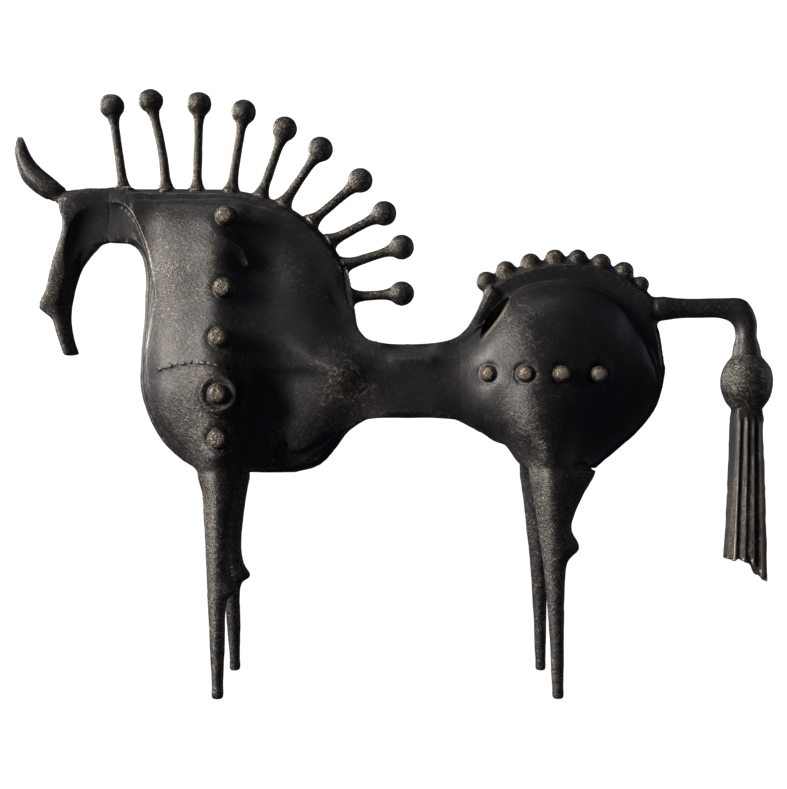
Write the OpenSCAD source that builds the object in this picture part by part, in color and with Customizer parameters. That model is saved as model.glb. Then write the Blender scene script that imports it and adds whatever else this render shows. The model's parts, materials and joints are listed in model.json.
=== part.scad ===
// Bronze horse statuette, assembled from cast plates, hollow side shells, legs, rivets and mane pins.
// The horse faces -X, +Z is up and the origin is the middle of the footprint, on the ground.

/* [Plates] */
// Thickness of the central silhouette plates
plate_t = 14; // [10:0.5:15]
// Bevel along the edges of the central plates
plate_bevel = 3; // [1:0.5:4]
// Wall of the hollow side shells
shell_wall = 4; // [3:0.25:5]

/* [Waist] */
// Width of the waist beam across the horse
waist_w = 44; // [38:1:46]
// Top of the waist beam above the ground
waist_top = 202.5; // [200:0.5:204]
// Underside of the waist beam above the ground
waist_bottom = 159; // [158:0.5:162]

/* [Stance] */
// Distance between the middles of the left and right feet
foot_track = 84; // [76:1:90]
// Diameter of the flat pad under each foot
foot_d = 7; // [5:0.25:8]

/* [Mane] */
// Diameter of the ball on each mane pin
mane_ball_d = 13.6; // [11:0.2:14]
// Diameter of a mane pin's stem
mane_stem_d = 4; // [3.6:0.2:5]

/* [Rivets] */
// Diameter of a shoulder rivet's head
shoulder_head_d = 11; // [9:0.5:12]
// Diameter of a hip rivet's head
hip_head_d = 9; // [7:0.5:10]
// Diameter of a rivet's shank
rivet_shank_d = 5.5; // [4:0.25:6]

/* [Croup] */
// Diameter of a croup bead
bead_d = 10.6; // [9:0.2:11]

/* [Tail] */
// Thickness of the tail arm
tail_arm_d = 11.4; // [9:0.2:12]
// Diameter of the tail bulb
tail_bulb_d = 30.8; // [28:0.4:32]
// Thickness of the tassel across the horse
tassel_t = 21; // [16:0.5:24]

/* [Hidden] */

$fn = 48;
eps = 0.01;
fit = 0.1;              // radial clearance of a peg in its bore
half_t = plate_t / 2;
dark_bronze = [0.17, 0.15, 0.15];
warm_bronze = [0.45, 0.35, 0.22];
steel = [0.6, 0.6, 0.62];

// Middles of the legs, front to back.
front_leg_x = -100;
hind_leg_x = 92.6;
front_joint_z = 128;
hind_joint_z = 130;
front_tenon = [-102, 19];   // x and distance from the middle plane
hind_tenon = [93, 25];
tenon_d = 10;
tenon_h = 11;

// The plates meet the waist beam at these two planes.
waist_x0 = -17;
waist_x1 = 38;
waist_mid_z = (waist_top + waist_bottom) / 2;
tongue_l = 12;
tongue_h = 22;
tie_rod_d = 7;
tie_rod_reach = 24;

// The head meets the neck plate at this plane.
head_x = -170;
dowel_z = [272, 286];
dowel_d = 5;
dowel_l = 18;

// Mane pins: foot on the crest and middle of the ball, as [x, z].
mane = [
    [[-161.6, 295], [-168.6, 345.5]],
    [[-136.2, 295], [-145.4, 348.9]],
    [[-117.8, 295], [-116.5, 346.9]],
    [[-97.2, 294.5], [-89.9, 341.9]],
    [[-79.5, 291.6], [-65.2, 331.9]],
    [[-66, 286.8], [-43.9, 319.8]],
    [[-49.2, 276.2], [-20, 301.1]],
    [[-38, 264.4], [-5.9, 281.4]],
    [[-29.6, 250.3], [4.6, 261.2]],
    [[-25.2, 231.4], [4.7, 233.4]]
];
mane_peg_d = 5;
mane_peg_l = 8;

// Rivets: x, z and the distance from the middle plane to the top of the head.
shoulder_rivets = [
    [-98.6, 277, 25],
    [-98.6, 234, 33],
    [-100.7, 205.3, 37.5],
    [-101.1, 172.6, 38.5],
    [-101.1, 146.8, 37.5]
];
hip_rivets = [
    [54.5, 184.5, 32.5],
    [74.5, 184, 43],
    [95, 184, 45],
    [117, 184, 38.5]
];
shoulder_head_h = 9;
hip_head_h = 8;
boss_wall = 1.2;        // around a rivet head
collar_wall = 3;        // of the ring around the fourth shoulder rivet
collar_h = 3.6;

// Croup beads: middle of each bead and its share of the full diameter.
beads = [
    [55.4, 240.5, 1],
    [67, 246.8, 1],
    [81.8, 251.3, 1],
    [96.2, 253.8, 1],
    [110, 253.7, 1],
    [123.8, 251.3, 1],
    [137.3, 246.3, 1],
    [147.5, 238.7, 0.8]
];
bead_peg_d = 3.5;
bead_peg_l = 11;

tail_root = [156, 225];
tail_axis_x = 211;
tail_neck_z = 198;
bulb_z = 181;
tassel_top_z = 164.5;
tail_tenon_d = 7;
tail_tenon_l = 14;
tail_rod_d = 5;
tail_rod_reach = 9;

// ---- curves and lofts ----

function blend4(a, b, c, d, t) =
    0.5 * (2 * b + (c - a) * t + (2 * a - 5 * b + 4 * c - d) * t * t + (3 * b - a - 3 * c + d) * t * t * t);

// Point of a smooth curve through pts at parameter s, from 0 to 1.
function at(pts, s) =
    let (n = len(pts) - 1, k = min(floor(s * n), n - 1), t = s * n - k)
    blend4(
        k > 0 ? pts[k - 1] : 2 * pts[0] - pts[1],
        pts[k],
        pts[k + 1],
        k + 2 <= n ? pts[k + 2] : 2 * pts[n] - pts[n - 1],
        t
    );

function curve(pts, steps) = [for (i = [0 : steps]) at(pts, i / steps)];

// Point of the smooth surface through a net of rows.
function net_at(net, u, v) = at([for (row = net) at(row, u)], v);

function flip(list) = [for (i = [len(list) - 1 : -1 : 0]) list[i]];

// Closed solid through a list of rings with equally many points, capped flat at both ends.
module loft(rings) {
    n = len(rings[0]);
    last = len(rings) - 1;
    points = [for (ring = rings) each ring];
    sides = [
        for (k = [0 : last - 1], i = [0 : n - 1])
            let (a = k * n + i, b = k * n + (i + 1) % n)
            each [[a, b, b + n], [a, b + n, a + n]]
    ];
    first_cap = flip([for (i = [0 : n - 1]) i]);
    last_cap = [for (i = [0 : n - 1]) last * n + i];
    polyhedron(points, concat(sides, [first_cap, last_cap]));
}

function power(value, exponent) = sign(value) * pow(abs(value), exponent);

// ---- central plates ----

// Side-view outline drawn as x, z and given a thickness across the horse, with beveled edges.
module plate(thickness, bevel) {
    rotate([90, 0, 0]) {
        linear_extrude(thickness - 2 * bevel, center = true) children();
        linear_extrude(thickness, center = true) offset(delta = -bevel) children();
    }
}

module cross_bore(x, z, d) {
    translate([x, 0, z]) rotate([90, 0, 0]) cylinder(d = d, h = 120, center = true);
}

module tilted(foot, tip) {
    lean = atan2(tip[0] - foot[0], tip[1] - foot[1]);
    translate([foot[0], 0, foot[1]]) rotate([0, lean, 0]) children();
}

neck_crest = curve([[head_x, 295.2], [-145, 295.3], [-117, 295.3], [-93, 294.2], [-75.5, 290.4],
    [-62, 284], [-48, 274.3], [-36.6, 261.8], [-28.2, 247.3], [-24.6, 229], [-22, 213],
    [waist_x0, 206]], 44);
chest = curve([[-59, 126.4], [-44, 131], [-34, 141.6], [-27, 151.4], [waist_x0, 158.2]], 12);
breast = curve([[-150.4, 199], [-150.9, 178], [-146.4, 161], [-137.6, 144.6], [-125.4, 133.4],
    [-115, 126.6]], 20);
throat = curve([[head_x, 264], [-158, 263.1], [-150.6, 256.5], [-147.8, 244], [-148.2, 222]], 14);

module front_web_outline() {
    polygon(concat(neck_crest, flip(chest), flip(breast), flip(throat)));
}

module front_web() {
    color(dark_bronze)
    difference() {
        union() {
            plate(plate_t, plate_bevel) front_web_outline();
            translate([waist_x0 - plate_t, -half_t, waist_mid_z - tongue_h / 2])
                cube([plate_t + tongue_l, plate_t, tongue_h]);
        }
        for (pin = mane)
            tilted(pin[0], pin[1]) translate([0, 0, -mane_peg_l]) cylinder(d = mane_peg_d + 2 * fit, h = 30);
        for (z = dowel_z)
            translate([head_x - eps, 0, z]) rotate([0, 90, 0]) cylinder(d = dowel_d, h = dowel_l / 2);
        for (rivet = shoulder_rivets) cross_bore(rivet[0], rivet[1], rivet_shank_d + 2 * fit);
        translate([waist_x0 - tie_rod_reach, 0, waist_mid_z])
            rotate([0, 90, 0]) cylinder(d = tie_rod_d, h = 60);
    }
}

croup = curve([[waist_x1, 207.4], [44, 213], [49, 221], [52.8, 229.5], [57, 238], [67, 245.2],
    [81.8, 250.2], [96.2, 253], [110, 252.9], [123.8, 250.2], [137, 244.8], [147.5, 237],
    [tail_root[0], 230.5]], 40);
buttock = curve([[tail_root[0], 218.5], [160.2, 200], [161.3, 186], [157, 167], [147, 152.8],
    [134, 140.8], [120.5, 129]], 24);
belly = curve([[waist_x1, 158.2], [50, 151.8], [60, 145], [69, 141], [77, 129]], 14);

module rear_web_outline() {
    polygon(concat(croup, buttock, flip(belly)));
}

// Raised rim in front of the haunch dome, the near side of the deep slit beside it.
rim_outer = curve([[waist_x1, 207.4], [44, 213], [49, 221], [52.8, 229.5], [57, 238]], 14);
rim_inner = curve([[62.5, 233], [58, 226], [53, 216.5], [46.5, 207], [waist_x1, 201]], 14);
rim_t = 21;

module rear_web() {
    color(dark_bronze)
    difference() {
        union() {
            plate(plate_t, plate_bevel) rear_web_outline();
            plate(rim_t, plate_bevel / 2) polygon(concat(rim_outer, rim_inner));
            translate([waist_x1 - tongue_l, -half_t, waist_mid_z - tongue_h / 2])
                cube([plate_t + tongue_l, plate_t, tongue_h]);
        }
        for (bead = beads) bead_place(bead) {
            cylinder(d = bead_peg_d + 2 * fit, h = 40, center = true);
            sphere(d = bead_d * bead[2] + 2 * fit);
        }
        for (rivet = hip_rivets) cross_bore(rivet[0], rivet[1], rivet_shank_d + 2 * fit);
        translate([waist_x1 - 40, 0, waist_mid_z])
            rotate([0, 90, 0]) cylinder(d = tie_rod_d, h = 40 + tie_rod_reach - 9);
        translate([tail_root[0] - tail_tenon_l, 0, tail_root[1]])
            rotate([0, 90, 0]) cylinder(d = tail_tenon_d + 2 * fit, h = 30);
    }
}

// ---- waist ----

waist_chamfer = 9.5;
waist_foot = 3;

module waist_section() {
    half_w = waist_w / 2;
    polygon([[half_w - waist_chamfer, waist_top + 5], [half_w - waist_chamfer, waist_top],
        [half_w, waist_top - waist_chamfer], [half_w, waist_bottom + waist_foot],
        [half_w - 1.5 * waist_foot, waist_bottom - 1], [1.5 * waist_foot - half_w, waist_bottom - 1],
        [-half_w, waist_bottom + waist_foot], [-half_w, waist_top - waist_chamfer],
        [waist_chamfer - half_w, waist_top], [waist_chamfer - half_w, waist_top + 5]]);
}

module waist_beam() {
    back = curve([[waist_x0, 206], [-12, 204], [-4, 202.8], [8, waist_top], [24, waist_top + 0.6],
        [32, waist_top + 2.2], [waist_x1, 207.4]], 22);
    under = curve([[waist_x0, 158.2], [-6, waist_bottom], [8, waist_bottom], [24, waist_bottom],
        [waist_x1, 158.2]], 14);
    color(dark_bronze)
    difference() {
        intersection() {
            rotate([90, 0, 0]) linear_extrude(waist_w + 2, center = true)
                polygon(concat(back, flip(under)));
            translate([waist_x0, 0, 0]) rotate([90, 0, 90])
                linear_extrude(waist_x1 - waist_x0) waist_section();
        }
        for (x = [waist_x0 - eps, waist_x1 - tongue_l])
            translate([x, -half_t, waist_mid_z - tongue_h / 2]) cube([tongue_l + eps, plate_t, tongue_h]);
        translate([waist_x0 - 5, 0, waist_mid_z]) rotate([0, 90, 0]) cylinder(d = tie_rod_d, h = 80);
    }
}

module waist_tie_rod() {
    end_chamfer = 1;
    length = waist_x1 - waist_x0 + 2 * (tie_rod_reach - 10);
    color(steel)
    translate([waist_x0 - tie_rod_reach + 10, 0, waist_mid_z]) rotate([0, 90, 0]) union() {
        cylinder(d1 = tie_rod_d - 2, d2 = tie_rod_d, h = end_chamfer);
        translate([0, 0, end_chamfer]) cylinder(d = tie_rod_d, h = length - 2 * end_chamfer);
        translate([0, 0, length - end_chamfer])
            cylinder(d1 = tie_rod_d, d2 = tie_rod_d - 2, h = end_chamfer);
    }
}

// ---- side shells ----

// Control nets for the near side. Rows run from top to bottom and columns from front to back.
// Each entry is x, z and the distance out from the middle plane.
shoulder_net = [
    [[-154, 287, 8], [-138, 288, 8], [-119, 288, 8], [-100, 287.5, 8],
     [-84, 285.5, 8], [-68, 281, 8], [-50, 271.5, 8], [-33, 257, 8]],
    [[-150, 274, 8], [-136, 276, 12], [-118, 277, 15], [-101, 277, 18],
     [-88, 275, 13], [-72, 270, 10], [-54, 261, 9.5], [-29.5, 247, 8]],
    [[-146, 260, 8], [-134, 262, 13.5], [-118, 263, 17.5], [-101, 263, 20.5],
     [-89, 261, 13], [-74, 256, 10], [-55, 250, 10.5], [-27.5, 236, 8]],
    [[-143, 246, 8], [-132, 246, 15], [-117, 247, 19.5], [-101, 247, 22.5],
     [-89, 245, 15.5], [-74, 242, 11], [-55, 238, 12.5], [-26.5, 225, 8]],
    [[-144, 230, 8], [-132.4, 230, 16.5], [-117, 230, 21.5], [-101, 230, 25.5],
     [-88, 229, 20], [-73, 227, 16], [-53, 224, 16.5], [-24, 214, 9]],
    [[-146.8, 214, 8], [-133.4, 214, 18], [-118, 214, 24], [-101, 213, 28.5],
     [-87, 212, 24], [-70, 211, 21], [-48, 209, 21], [waist_x0, 204, 12.5]],
    [[-148.6, 199, 8], [-134.6, 199, 20], [-118, 199, 26], [-101, 198, 30.5],
     [-86, 197, 25], [-68, 196, 20], [-44, 195, 24], [waist_x0, 195, 20.5]],
    [[-148.6, 184, 8], [-134.6, 184, 20], [-118, 184, 27], [-101, 183, 31.5],
     [-85, 182, 21], [-67, 181, 15], [-41, 182, 24.5], [waist_x0, 184, 22]],
    [[-146.6, 170, 8], [-134.4, 169, 19.5], [-118, 169, 27], [-102, 168, 31.5],
     [-86, 167, 19], [-68, 166, 13], [-42, 168, 20.5], [waist_x0, 169, 22]],
    [[-140.6, 155, 8], [-131.4, 154, 18], [-117, 154, 25.5], [-102, 154, 31.5],
     [-87, 153, 21], [-70, 152, 13], [-46, 153, 15], [-19, 159, 10]],
    [[-129.8, 141, 8], [-124.2, 140, 16], [-115, 140, 24.5], [-102, 140, 31.5],
     [-89, 139, 22], [-73, 138, 13.5], [-53, 139, 12], [-32, 145.5, 8]],
    [[-117.6, 128, 8], [-116, 128, 16.5], [-112, 128, 25], [-102, 128, 31],
     [-94, 128, 25], [-85, 128, 14], [-67, 128.5, 9], [-42, 133.5, 8]]
];

haunch_net = [
    [[48.5, 205.5, 9], [57.5, 217, 9], [69, 230, 8.5], [82, 236.8, 8],
     [98, 239.5, 8], [114, 238, 8], [130, 231, 8], [144, 216, 8]],
    [[43.5, 202, 12], [54.5, 210, 21], [67, 221, 24], [81, 227.5, 25],
     [97, 229.5, 25], [114, 228, 22], [132, 220, 16], [149, 206, 8]],
    [[waist_x1, 197, 18.5], [51, 200, 26], [66, 208, 31.5], [80, 213, 33.5],
     [97, 214, 33.5], [115, 212, 29.5], [134, 206, 21], [153, 196, 8]],
    [[waist_x1, 189, 22], [51, 190, 28], [65, 193, 34], [81, 196, 39.5],
     [98, 196, 38], [117, 195, 32], [137, 191.5, 22], [157, 186, 8]],
    [[waist_x1, 180, 22], [50, 179, 28], [65, 179, 34.5], [81, 179, 41.5],
     [99, 179, 39], [118, 178, 32], [138, 177, 22], [157.5, 176, 8]],
    [[waist_x1, 170, 22], [50, 167, 27], [65, 166, 34], [82, 165, 42.5],
     [99, 164, 39], [118, 164, 31], [137, 164, 20], [153.5, 164, 8]],
    [[41, 157.5, 10], [54, 154.5, 21], [68, 152, 32], [84, 152, 43],
     [99, 152, 39], [116, 152, 28], [131, 152, 17], [144, 152.5, 8]],
    [[65, 144.5, 8], [72, 143, 20], [79, 141.5, 33], [86, 141, 43.5],
     [98, 141, 38.5], [111, 141, 27], [122, 141, 17], [132, 141.5, 8]],
    [[77, 130, 9], [78.5, 130, 22], [82, 130, 35], [89, 130, 43],
     [98, 130, 38], [107, 130, 27], [116, 130, 17], [121, 130, 9]]
];

shell_cols = 24;
shell_rows = 26;

// The grid's edge, clockwise as seen from outside.
function edge_loop(cols, rows) = concat(
    [for (i = [0 : cols]) [i, 0]],
    [for (j = [1 : rows]) [cols, j]],
    [for (i = [cols - 1 : -1 : 0]) [i, rows]],
    [for (j = [rows - 1 : -1 : 1]) [0, j]]
);

// Hollow shell whose open back lies on the central plate. solid_v is how far down the hollow reaches.
module near_shell(net, solid_v) {
    cols = shell_cols;
    rows = shell_rows;
    count = (cols + 1) * (rows + 1);
    loop = edge_loop(cols, rows);
    rim = len(loop);
    margin = 0.085;
    outer = [
        for (j = [0 : rows], i = [0 : cols])
            let (p = net_at(net, i / cols, j / rows))
            [p[0], -max(p[2], half_t + 0.8), p[1]]
    ];
    inner = [
        for (j = [0 : rows], i = [0 : cols])
            let (
                u = margin + (1 - 2 * margin) * i / cols,
                v = margin + (solid_v - margin) * j / rows,
                p = net_at(net, u, v),
                on_edge = i == 0 || j == 0 || i == cols || j == rows
            )
            [p[0], -(on_edge ? half_t : max(p[2] - shell_wall, half_t)), p[1]]
    ];
    back = [for (k = loop) let (p = outer[k[1] * (cols + 1) + k[0]]) [p[0], -half_t, p[2]]];
    function cell(i, j) = j * (cols + 1) + i;
    function out(k) = cell(loop[k % rim][0], loop[k % rim][1]);
    outer_faces = [
        for (j = [0 : rows - 1], i = [0 : cols - 1])
            each [[cell(i, j), cell(i + 1, j), cell(i + 1, j + 1)],
                  [cell(i, j), cell(i + 1, j + 1), cell(i, j + 1)]]
    ];
    inner_faces = [for (face = outer_faces) [for (p = flip(face)) p + count]];
    side_faces = [
        for (k = [0 : rim - 1])
            let (a = out(k), b = out(k + 1), c = 2 * count + (k + 1) % rim, d = 2 * count + k)
            each [[a, d, c], [a, c, b]]
    ];
    back_faces = [
        for (k = [0 : rim - 1])
            let (a = 2 * count + k, b = 2 * count + (k + 1) % rim, c = count + out(k + 1), d = count + out(k))
            each [[b, a, d], [b, d, c]]
    ];
    polyhedron(concat(outer, inner, back), concat(outer_faces, inner_faces, side_faces, back_faces));
}

// Solid bosses that carry the rivets from the central plate up to the seats under the heads.
module rivet_bosses(rivets, head_d, head_h) {
    for (rivet = rivets)
        near_side(rivet, half_t, rivet[2] - head_h) cylinder(d = head_d + 2 * boss_wall, h = 1);
}

// Shank bores and the spot faces in which the rivet heads sit.
module rivet_bores(rivets, head_d, head_h) {
    for (rivet = rivets) {
        cross_bore(rivet[0], rivet[1], rivet_shank_d + 2 * fit);
        near_side(rivet, rivet[2] - head_h, rivet[2] + 10) cylinder(d = head_d + 2 * fit, h = 1);
    }
}

// Stands a unit-high child on a rivet's axis, between two distances from the middle plane.
module near_side(rivet, from, to) {
    translate([rivet[0], -from, rivet[1]]) rotate([90, 0, 0]) scale([1, 1, to - from]) children();
}

module tenon_bore(place, z) {
    translate([place[0], -place[1], z - 1]) cylinder(d = tenon_d + 2 * fit, h = tenon_h + 1.5);
}

module shoulder_shell() {
    collar = shoulder_rivets[3];
    collar_seat = collar[2] - shoulder_head_h;
    color(dark_bronze)
    difference() {
        union() {
            near_shell(shoulder_net, 0.8);
            rivet_bosses(shoulder_rivets, shoulder_head_d, shoulder_head_h);
            near_side(collar, collar_seat - shell_wall, collar_seat + collar_h)
                cylinder(d = shoulder_head_d + 2 * collar_wall, h = 1);
        }
        rivet_bores(shoulder_rivets, shoulder_head_d, shoulder_head_h);
        tenon_bore(front_tenon, front_joint_z);
    }
}

module haunch_shell() {
    color(dark_bronze)
    difference() {
        union() {
            near_shell(haunch_net, 0.74);
            rivet_bosses(hip_rivets, hip_head_d, hip_head_h);
        }
        rivet_bores(hip_rivets, hip_head_d, hip_head_h);
        tenon_bore(hind_tenon, hind_joint_z);
    }
}

module shoulder_shell_near() { shoulder_shell(); }
module shoulder_shell_far() { mirror([0, 1, 0]) shoulder_shell(); }
module haunch_shell_near() { haunch_shell(); }
module haunch_shell_far() { mirror([0, 1, 0]) haunch_shell(); }

// ---- legs ----

// One ring of a leg: z, front x, rear x, inner and outer distance from the middle plane, ridge x.
function leg_ring(s) =
    let (mid = (s[3] + s[4]) / 2, half = (s[4] - s[3]) / 2, shape = 1.35, sides = 16)
    [
        for (i = [0 : sides - 1])
            let (a = 360 * i / sides, c = power(cos(a), shape), h = power(sin(a), shape))
            [s[5] + c * (c > 0 ? s[2] - s[5] : s[5] - s[1]), h * half - mid, s[0]]
    ];

spread = foot_track / 2;
front_stations = [
    [128, -116.8, -86, 8, 31, -102],
    [115, -112, -89.6, 12.5, 31.5, -101.5],
    [100, -110.5, -92, 17.5, 33, -101],
    [82, -109, -94.1, 22.5, 35.5, -101],
    [69, -108, -92.6, 26, 37.5, -100.8],
    [60.4, -107.5, -88.2, 28.5, 38.5, -100.7],
    [54, -107, -95.2, 30, 39.7, -100.6],
    [30, -105.1, -95.6, spread - 7, spread + 1.2, -100.4],
    [3, -103.4, -96.6, spread - 3.6, spread + 3.6, front_leg_x]
];
hind_stations = [
    [130, 77, 121.5, 9, 43, 89],
    [118, 79, 111.8, 16, 43, 89.5],
    [105, 80.7, 104.4, 22, 42.8, 90],
    [95, 82, 101.8, 25.5, 42.8, 91],
    [84.6, 83.2, 106.6, 28.5, 43.2, 91.5],
    [76, 84.4, 98.8, 31, 43.6, 91.8],
    [55, 86.3, 97.2, 34.4, 44.6, 92],
    [30, 87.9, 96.6, 36.8, spread + 3.2, 92.3],
    [3, 89, 96.2, spread - 3.6, spread + 3.6, hind_leg_x]
];

module near_leg(stations, foot_x, tenon, joint_z) {
    steps = 26;
    rings = [for (i = [0 : steps]) leg_ring(at(stations, i / steps))];
    color(dark_bronze)
    union() {
        loft(rings);
        translate([foot_x, -spread, 0]) cylinder(d = foot_d, h = 5);
        translate([tenon[0], -tenon[1], joint_z - 4]) cylinder(d = tenon_d, h = 4 + tenon_h);
    }
}

module front_leg_near() { near_leg(front_stations, front_leg_x, front_tenon, front_joint_z); }
module front_leg_far() { mirror([0, 1, 0]) front_leg_near(); }
module hind_leg_near() { near_leg(hind_stations, hind_leg_x, hind_tenon, hind_joint_z); }
module hind_leg_far() { mirror([0, 1, 0]) hind_leg_near(); }

// ---- head ----

// Outer edge, inner edge, half thickness at the outer edge and at the inner edge.
head_stations = [
    [head_x, 295.2, head_x, 264, 8.5, 5.5],
    [-182, 295.2, -175.2, 262.8, 9.5, 6],
    [-193.5, 294.5, -178.2, 259.4, 10.3, 6],
    [-200, 288.5, -181.8, 255.4, 10.8, 6],
    [-196.8, 278, -184.4, 251, 10.8, 5.5],
    [-198.8, 267, -186.6, 246.5, 10.3, 5],
    [-202.6, 256, -188.6, 241, 9.4, 4.5],
    [-205.4, 246, -190.2, 235, 8.8, 4.2],
    [-207.4, 236, -191.4, 229, 8.2, 4],
    [-211.8, 225.2, -192.3, 222.5, 6.8, 3.8],
    [-204, 218.4, -192.6, 217, 6.6, 3.6],
    [-201.4, 211, -191.8, 210.5, 6.6, 3.8],
    [-199, 203.5, -190.4, 204, 6.6, 4.2],
    [-196.6, 196.2, -187.8, 196.7, 7, 4.8]
];

// A ring of the head: broad at the outer edge, flat on the sides, beveled to the thin inner edge.
function head_ring(s) =
    let (
        o = [s[0], s[1]], w = [s[2], s[3]] - [s[0], s[1]], a = s[4], b = s[5],
        half = [[0, 0.35], [0.03, 0.75], [0.12, 0.98], [0.35, 1], [0.6, 0.93], [0.8, 0.6], [0.96, 0.35], [1, 0.15]],
        side = [for (h = half) [o[0] + w[0] * h[0], h[1] * (h[0] < 0.7 ? a : b + (a - b) * 0.3), o[1] + w[1] * h[0]]]
    )
    concat([for (p = side) [p[0], -p[1], p[2]]], flip(side));

module head() {
    steps = 30;
    rings = [for (i = [0 : steps]) head_ring(at(head_stations, i / steps))];
    color(dark_bronze)
    difference() {
        loft(rings);
        for (z = dowel_z)
            translate([head_x - dowel_l / 2, 0, z]) rotate([0, 90, 0]) cylinder(d = dowel_d, h = dowel_l);
        for (side = [-1, 1]) ear_peg(side, ear_peg_d + 2 * fit);
    }
}

module head_dowels() {
    color(steel)
    for (z = dowel_z)
        translate([head_x - dowel_l / 2, 0, z]) rotate([0, 90, 0]) cylinder(d = dowel_d, h = dowel_l);
}

// ---- ears ----

ear_peg_out = 6.2;
ear_peg_d = 3;
ear_peg_l = 12;
ear_root = [-204, 296.5];
ear_peg_aim = [-195, 283];

module ear_peg(side, d) {
    translate([0, side * ear_peg_out, 0]) tilted(ear_root, ear_peg_aim) cylinder(d = d, h = ear_peg_l);
}

// Ear stations: front edge x, z, rear edge x, z, depth, distance from the middle plane, and how far
// the inner side is hollowed.
ear_stations = [
    [-206, 290.4, -198, 294.6, 3.6, 5, 0],
    [-213.4, 294.8, -203.4, 297.6, 3.8, 5.5, 0.4],
    [-219.2, 299.6, -208, 301.4, 4.2, 6.2, 1],
    [-223, 306.4, -212.4, 307, 4.6, 6.8, 1],
    [-225, 314, -216, 313, 4.2, 7.2, 1],
    [-225, 320, -218.6, 319, 3.2, 7.5, 1],
    [-223.7, 324.4, -220.3, 323.8, 1.9, 7.7, 1],
    [-222.4, 326.2, -221.4, 326, 0.6, 7.8, 1]
];

// A folded leaf: the outer side is keeled and the inner side is hollow.
function ear_ring(s) =
    let (
        a = [s[0], s[1]], w = [s[2], s[3]] - [s[0], s[1]], d = s[4], m = s[5], f = s[6],
        leaf = [[0, -0.25], [0.2, 0.2 * f - 0.3], [0.42, 0.6 * f - 0.32], [0.66, 0.4 * f - 0.3],
                [0.85, 0.05 * f - 0.25], [1, -0.1],
                [0.9, 0.35], [0.62, 0.9], [0.4, 0.98], [0.14, 0.5], [-0.02, 0.05]]
    )
    [for (p = leaf) [a[0] + w[0] * p[0], -(m + d * p[1]), a[1] + w[1] * p[0]]];

module ear() {
    steps = 20;
    color(dark_bronze)
    union() {
        loft([for (i = [0 : steps]) ear_ring(at(ear_stations, i / steps))]);
        ear_peg(-1, ear_peg_d);
    }
}

module ear_near() { ear(); }
module ear_far() { mirror([0, 1, 0]) ear(); }

// ---- mane pins ----

// A turned pin: peg, flared foot, thin stem and a ball that runs into the stem.
module mane_pin(i) {
    foot = mane[i][0];
    tip = mane[i][1];
    length = norm(tip - foot);
    ball_r = mane_ball_d / 2;
    stem_r = mane_stem_d / 2;
    ball_from = -58;
    ball = [for (a = [ball_from : 8 : 90]) [ball_r * cos(a), length + ball_r * sin(a)]];
    neck = [
        [stem_r + 3, -0.5], [stem_r + 1.9, 1.6], [stem_r + 0.9, 4.2], [stem_r + 0.25, 8],
        [stem_r, 0.5 * length], [stem_r + 0.1, length - ball_r - 6], [stem_r + 0.5, length - ball_r - 2.6]
    ];
    color(warm_bronze)
    tilted(foot, tip) rotate_extrude() polygon(concat(
        [[0, -mane_peg_l + 0.5], [mane_peg_d / 2, -mane_peg_l + 0.5], [mane_peg_d / 2, -0.5]],
        neck, ball, [[0, length + ball_r]]));
}

module mane_pin_1() { mane_pin(0); }
module mane_pin_2() { mane_pin(1); }
module mane_pin_3() { mane_pin(2); }
module mane_pin_4() { mane_pin(3); }
module mane_pin_5() { mane_pin(4); }
module mane_pin_6() { mane_pin(5); }
module mane_pin_7() { mane_pin(6); }
module mane_pin_8() { mane_pin(7); }
module mane_pin_9() { mane_pin(8); }
module mane_pin_10() { mane_pin(9); }

// ---- rivets ----

// A through rivet that clamps both shells to the plate, with a crowned head on each side.
module rivet(place, head_d, head_h) {
    head_r = head_d / 2;
    shank_r = rivet_shank_d / 2;
    reach = place[2];
    edge = 1.2;
    crown = 0.8;
    half = [[shank_r, 0], [shank_r, reach - head_h], [head_r, reach - head_h],
        [head_r, reach - edge - crown], [head_r - edge, reach - crown], [0.4 * head_r, reach - 0.15 * crown],
        [0, reach]];
    color(warm_bronze)
    translate([place[0], 0, place[1]]) rotate([90, 0, 0])
        rotate_extrude() polygon(concat(flip([for (p = half) [p[0], -p[1]]]), half));
}

module shoulder_rivet(i) { rivet(shoulder_rivets[i], shoulder_head_d, shoulder_head_h); }
module hip_rivet(i) { rivet(hip_rivets[i], hip_head_d, hip_head_h); }

module shoulder_rivet_1() { shoulder_rivet(0); }
module shoulder_rivet_2() { shoulder_rivet(1); }
module shoulder_rivet_3() { shoulder_rivet(2); }
module shoulder_rivet_4() { shoulder_rivet(3); }
module shoulder_rivet_5() { shoulder_rivet(4); }
module hip_rivet_1() { hip_rivet(0); }
module hip_rivet_2() { hip_rivet(1); }
module hip_rivet_3() { hip_rivet(2); }
module hip_rivet_4() { hip_rivet(3); }

// ---- croup beads ----

bead_aim = [97, 150];

// Stands a bead on the croup, pointing away from the middle of the haunch.
module bead_place(bead) {
    lean = atan2(bead[0] - bead_aim[0], bead[1] - bead_aim[1]);
    translate([bead[0], 0, bead[1]]) rotate([0, lean, 0]) children();
}

module croup_bead(i) {
    bead = beads[i];
    r = bead_d / 2 * bead[2];
    foot_r = 0.62 * r;
    arc = [for (a = [-50 : 10 : 90]) [r * cos(a), r * sin(a)]];
    color(warm_bronze)
    bead_place(bead) rotate_extrude() polygon(concat(
        [[0, -bead_peg_l], [bead_peg_d / 2, -bead_peg_l], [bead_peg_d / 2, -r], [foot_r, -r]],
        arc, [[0, r]]));
}

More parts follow.
